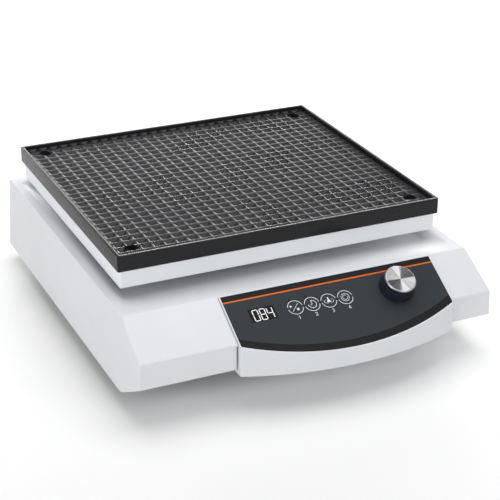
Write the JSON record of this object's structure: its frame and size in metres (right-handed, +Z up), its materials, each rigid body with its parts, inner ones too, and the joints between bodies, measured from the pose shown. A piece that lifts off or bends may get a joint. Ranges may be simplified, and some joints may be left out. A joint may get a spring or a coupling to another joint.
{
  "type": "orbital shaker",
  "caption": "Bench orbital shaker with a rubber-matted platform on a crank and idler drive, a sloping bowed console with display, round keys and knob, and a rear mains socket.",
  "frame": {"origin": "on the table, under the middle of the outer box", "axes": "+Z up, -Y towards the operator and the console, +X to the operator's right"},
  "size_m": [0.3204, 0.3765, 0.1183],
  "materials": {
    "housing_paint": "fine-grained satin powder coat",
    "console_paint": "satin moulded plastic",
    "tray_paint": "smooth satin powder coat",
    "mat_rubber": "matt black rubber",
    "foot_rubber": "matt black rubber",
    "panel_film": "fine matt graphite film",
    "key_film": "fine matt graphite film",
    "window_tint": "dark tinted window",
    "led_lens": "unlit lamp lens",
    "knob_plastic": "matt blue-black plastic",
    "knob_metal": "spun finish",
    "plate_steel": "zinc-plated sheet",
    "screw_steel": "zinc plated",
    "machined_aluminium": "machined",
    "cast_aluminium": "as cast",
    "shaft_steel": "ground",
    "bearing_steel": "polished rings",
    "weight_iron": "blackened",
    "bush_steel": "zinc plated",
    "belt_rubber": "matt",
    "motor_black": "black coated",
    "board_laminate": "green circuit board",
    "component_black": "moulded",
    "socket_black": "moulded",
    "rocker_black": "glossy",
    "blade_nickel": "nickel-plated brass"
  },
  "bodies": {
    "base": {"housing_cover": "housing_paint", "base_plate": "plate_steel", "rubber_feet": "foot_rubber", "foot_screws": "screw_steel", "cover_screws": "screw_steel", "chassis_plate": "machined_aluminium", "chassis_pillars": "machined_aluminium", "chassis_screws": "screw_steel", "main_bearing_housing": "machined_aluminium", "main_bearings": "bearing_steel", "bearing_housing_screws": "screw_steel", "idler_housings": "machined_aluminium", "idler_bearings": "bearing_steel", "motor_body": "motor_black", "motor_screws": "screw_steel", "drive_belt": "belt_rubber", "speed_sensor": "component_black", "console_bezel": "console_paint", "panel_overlay": "panel_film", "display_window": "window_tint", "display_module": "component_black", "control_board": "board_laminate", "board_screws": "screw_steel", "tact_switches": "component_black", "indicator_leds": "led_lens", "console_screws": "screw_steel", "encoder_body": "component_black", "encoder_nut": "screw_steel", "power_inlet": "socket_black", "inlet_pins": "blade_nickel", "switch_frame": "socket_black", "power_supply_board": "board_laminate", "power_supply_parts": "component_black", "motor_driver_board": "board_laminate"},
    "crankshaft": {"main_shaft": "shaft_steel", "main_pulley": "machined_aluminium", "counterweight": "weight_iron", "clamp_bolt": "screw_steel"},
    "motor_rotor": {"motor_shaft": "shaft_steel", "motor_pulley": "machined_aluminium"},
    "platform": {"platform_tray": "tray_paint", "platform_bushes": "bush_steel", "platform_carrier": "cast_aluminium", "hub_bearing": "bearing_steel", "pin_bearings": "bearing_steel", "carrier_screws": "screw_steel", "non_slip_mat": "mat_rubber", "mat_corner_pads": "mat_rubber"},
    "idler_1": {"idler_crank_1": "shaft_steel"},
    "idler_2": {"idler_crank_2": "shaft_steel"},
    "idler_3": {"idler_crank_3": "shaft_steel"},
    "knob": {"knob_body": "knob_plastic", "knob_cap": "knob_metal", "encoder_shaft": "shaft_steel"},
    "key_a": {"key_1": "key_film"},
    "key_b": {"key_2": "key_film"},
    "key_c": {"key_3": "key_film"},
    "key_d": {"key_4": "key_film"},
    "rocker": {"switch_rocker": "rocker_black"},
    "fuse_holder": {"fuse_drawer": "socket_black"}
  },
  "joints": [
    {"name": "crank_turn", "type": "hinge", "parent": "base", "child": "crankshaft", "pos_m": [0, 0.03555, 0.046], "axis": [0, 0, 1], "continuous": true},
    {"name": "platform_orbit", "type": "hinge", "parent": "crankshaft", "child": "platform", "pos_m": [0, 0.04055, 0.0958], "axis": [0, 0, 1], "continuous": true},
    {"name": "motor_turn", "type": "hinge", "parent": "base", "child": "motor_rotor", "pos_m": [0.08227, 0.08305, 0.046], "axis": [0, 0, 1], "continuous": true},
    {"name": "idler_1_turn", "type": "hinge", "parent": "base", "child": "idler_1", "pos_m": [0, 0.13055, 0.046], "axis": [0, 0, 1], "continuous": true},
    {"name": "idler_2_turn", "type": "hinge", "parent": "base", "child": "idler_2", "pos_m": [-0.08227, -0.01195, 0.046], "axis": [0, 0, 1], "continuous": true},
    {"name": "idler_3_turn", "type": "hinge", "parent": "base", "child": "idler_3", "pos_m": [0.08227, -0.01195, 0.046], "axis": [0, 0, 1], "continuous": true},
    {"name": "knob_turn", "type": "hinge", "parent": "base", "child": "knob", "pos_m": [0.0762, -0.1478, 0.07139], "axis": [0, -0.4925, 0.8703], "continuous": true},
    {"name": "key_1_press", "type": "slide", "parent": "base", "child": "key_a", "axis": [0, 0.4925, -0.8703], "range_m": [0, 0.0004], "stiffness_N_per_m": 400, "springref_m": -0.0006},
    {"name": "key_2_press", "type": "slide", "parent": "base", "child": "key_b", "axis": [0, 0.4925, -0.8703], "range_m": [0, 0.0004], "stiffness_N_per_m": 400, "springref_m": -0.0006},
    {"name": "key_3_press", "type": "slide", "parent": "base", "child": "key_c", "axis": [0, 0.4925, -0.8703], "range_m": [0, 0.0004], "stiffness_N_per_m": 400, "springref_m": -0.0006},
    {"name": "key_4_press", "type": "slide", "parent": "base", "child": "key_d", "axis": [0, 0.4925, -0.8703], "range_m": [0, 0.0004], "stiffness_N_per_m": 400, "springref_m": -0.0006},
    {"name": "rocker_tilt", "type": "hinge", "parent": "base", "child": "rocker", "pos_m": [-0.089, 0.18045, 0.047], "axis": [1, 0, 0], "range_deg": [0, 20]},
    {"name": "fuse_drawer_slide", "type": "slide", "parent": "base", "child": "fuse_holder", "axis": [0, 1, 0], "range_m": [0, 0.016]}
  ],
  "couplings": [
    {"joint": "platform_orbit", "follows": "crank_turn", "ratio": -1},
    {"joint": "motor_turn", "follows": "crank_turn", "ratio": 4},
    {"joint": "idler_1_turn", "follows": "crank_turn", "ratio": 1},
    {"joint": "idler_2_turn", "follows": "crank_turn", "ratio": 1},
    {"joint": "idler_3_turn", "follows": "crank_turn", "ratio": 1}
  ]
}
